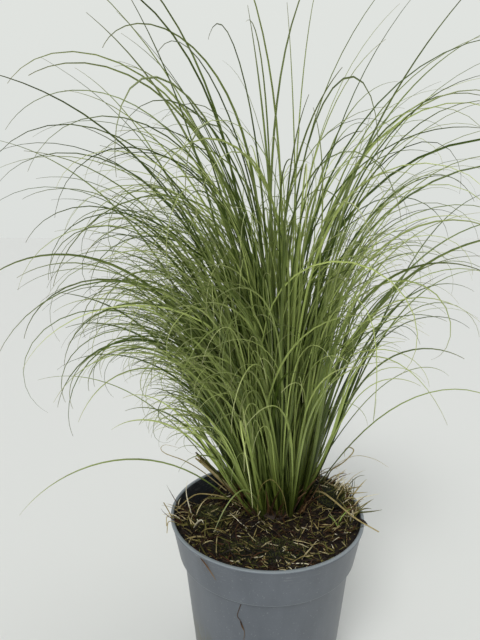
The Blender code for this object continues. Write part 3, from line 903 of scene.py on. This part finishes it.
# Seedling: a young grass plant in the moss at the right, of three short bright leaves.
# Heading, lean at the root and at the tip, and length in metres.
SEEDLING_LEAVES = [(20, 10, 75, 0.014), (150, 25, 70, 0.009), (280, 15, 60, 0.010)]
# Young leaf: fresh and a little glossy, brighter than any leaf of the clump.
young_green = leaf_material("young_grass_leaf",
                            [(0.0, "#6e8a3c"), (1.0, "#7fa23a")],
                            [(0.0, "#9aae62"), (1.0, "#a8c455")], 0.4)
build = new_blades()
for azimuth, lean, tip_lean, length in SEEDLING_LEAVES:
    line = leaf_line(soil_root(0.042, -0.016, 0.0012), azimuth, lean, tip_lean, length, 1.2, 9)
    lay_blade(build, line, leaf_widths(0.0009, 9), random.random())
finish_piece("seedling_leaves", build, [young_green], "seedling", "seedling")


# Pieces dried on to the pot: a thin dead root at the front below the seam, and a sliver of
# bark that hangs from the rim at the left.
def on_wall(points):
    """Points in millimetres, brought on to the outside of the pot's wall."""
    placed = []
    for x, y, z in points:
        height = 0.001 * z
        wall = inner_radius(height) + WALL + 0.0002
        placed.append(1000 * wall * Vector((x, y, 0)).normalized() + Vector((0, 0, z)))
    return placed


build = new_blades()
lay_strand(build, on_wall([(-16, -49, 83), (-17.2, -48.5, 79), (-18.1, -47.9, 74.2),
                           (-16.4, -48.2, 71.4), (-14.3, -48.2, 65.1), (-14.6, -47.5, 58.8),
                           (-14, -47, 53)]),
           0.45, 0.2, 30, roll=math.pi / 2)
lay_strand(build, on_wall([(-16.4, -48.2, 71.4), (-15.6, -48.2, 68), (-14.3, -48.2, 65.1)]),
           0.8, 0.1, 9, roll=math.pi / 2)
finish_piece("root_thread", build, [dead_sheath], "dry_leaf")

build = new_blades()
lay_strand(build, on_wall([(-37.8, -45.3, 108), (-34.0, -47.4, 103.7), (-29.6, -48.8, 97.0)]),
           1.15, 0.4, 14, 0.1, roll=math.pi / 2)
finish_piece("bark_sliver", build, [dead_sheath], "dry_leaf")


# Floor, light and camera: a plain pale floor under a soft overcast light from above.
BOARD_WHITE = "#dddeda"
BOARD_SEEN = "#dcdfdc"
SKY_LIGHT = "#e4e8ea"
SKY_SEEN = "#e1e4e0"
SKY_STRENGTH = 0.42
CAMERA_LENS = 27.06
CAMERA_PLACE = (-0.01675, -0.27985, POT_HEIGHT + 0.16844)
CAMERA_TILT = 9.755
bpy.ops.mesh.primitive_plane_add(size=400, location=(0, 0, 0))
floor = bpy.context.object
floor.name = "floor"
floor_paint, floor_tree, floor_shader, _ = start_material("matt_white_board", 0.8)
floor_shader.inputs["Base Color"].default_value = linear(BOARD_WHITE)
floor.data.materials.append(floor_paint)

world = bpy.data.worlds.new("overcast")
bpy.context.scene.world = world
world.use_nodes = True
sky_tree = world.node_tree
sky_light = sky_tree.nodes["Background"]
sky_light.inputs["Color"].default_value = linear(SKY_LIGHT)
sky_light.inputs["Strength"].default_value = SKY_STRENGTH
sky_way = node(sky_tree, "ShaderNodeTexCoord")
sky_height = node(sky_tree, "ShaderNodeSeparateXYZ", {"Vector": sky_way.outputs["Generated"]})
sky_shade = node(sky_tree, "ShaderNodeValToRGB", {"Fac": sky_height.outputs["Z"]},
                 stops=[(0.0, BOARD_SEEN), (0.45, SKY_SEEN)])
sky_seen = node(sky_tree, "ShaderNodeBackground", {"Color": sky_shade.outputs["Color"]})
looked_at = node(sky_tree, "ShaderNodeLightPath")
sky_mix = node(sky_tree, "ShaderNodeMixShader", {0: looked_at.outputs["Is Camera Ray"],
               1: sky_light.outputs[0], 2: sky_seen.outputs[0]})
sky_tree.links.new(sky_mix.outputs[0], sky_tree.nodes["World Output"].inputs["Surface"])


def sun_light(name, way, spread, power):
    """A very large soft light, from the direction that it stands in."""
    lamp = bpy.data.lights.new(name, "SUN")
    lamp.angle = math.radians(spread)
    lamp.energy = power
    item = bpy.data.objects.new(name, lamp)
    bpy.context.scene.collection.objects.link(item)
    item.rotation_euler = (-Vector(way)).to_track_quat("-Z", "Y").to_euler()


sun_light("window_key", (-0.35, -0.95, 1.15), 25, 1.85)
sun_light("sky_top", (0.3, 0.4, 1.0), 60, 0.8)

camera_data = bpy.data.cameras.new("camera")
camera_data.lens = CAMERA_LENS
camera_data.clip_start = 0.01
camera_data.clip_end = 1000
camera = bpy.data.objects.new("camera", camera_data)
bpy.context.scene.collection.objects.link(camera)
camera.location = CAMERA_PLACE
camera.rotation_euler = (math.radians(90 - CAMERA_TILT), 0, 0)
bpy.context.scene.camera = camera
bpy.context.scene.view_settings.view_transform = "Standard"
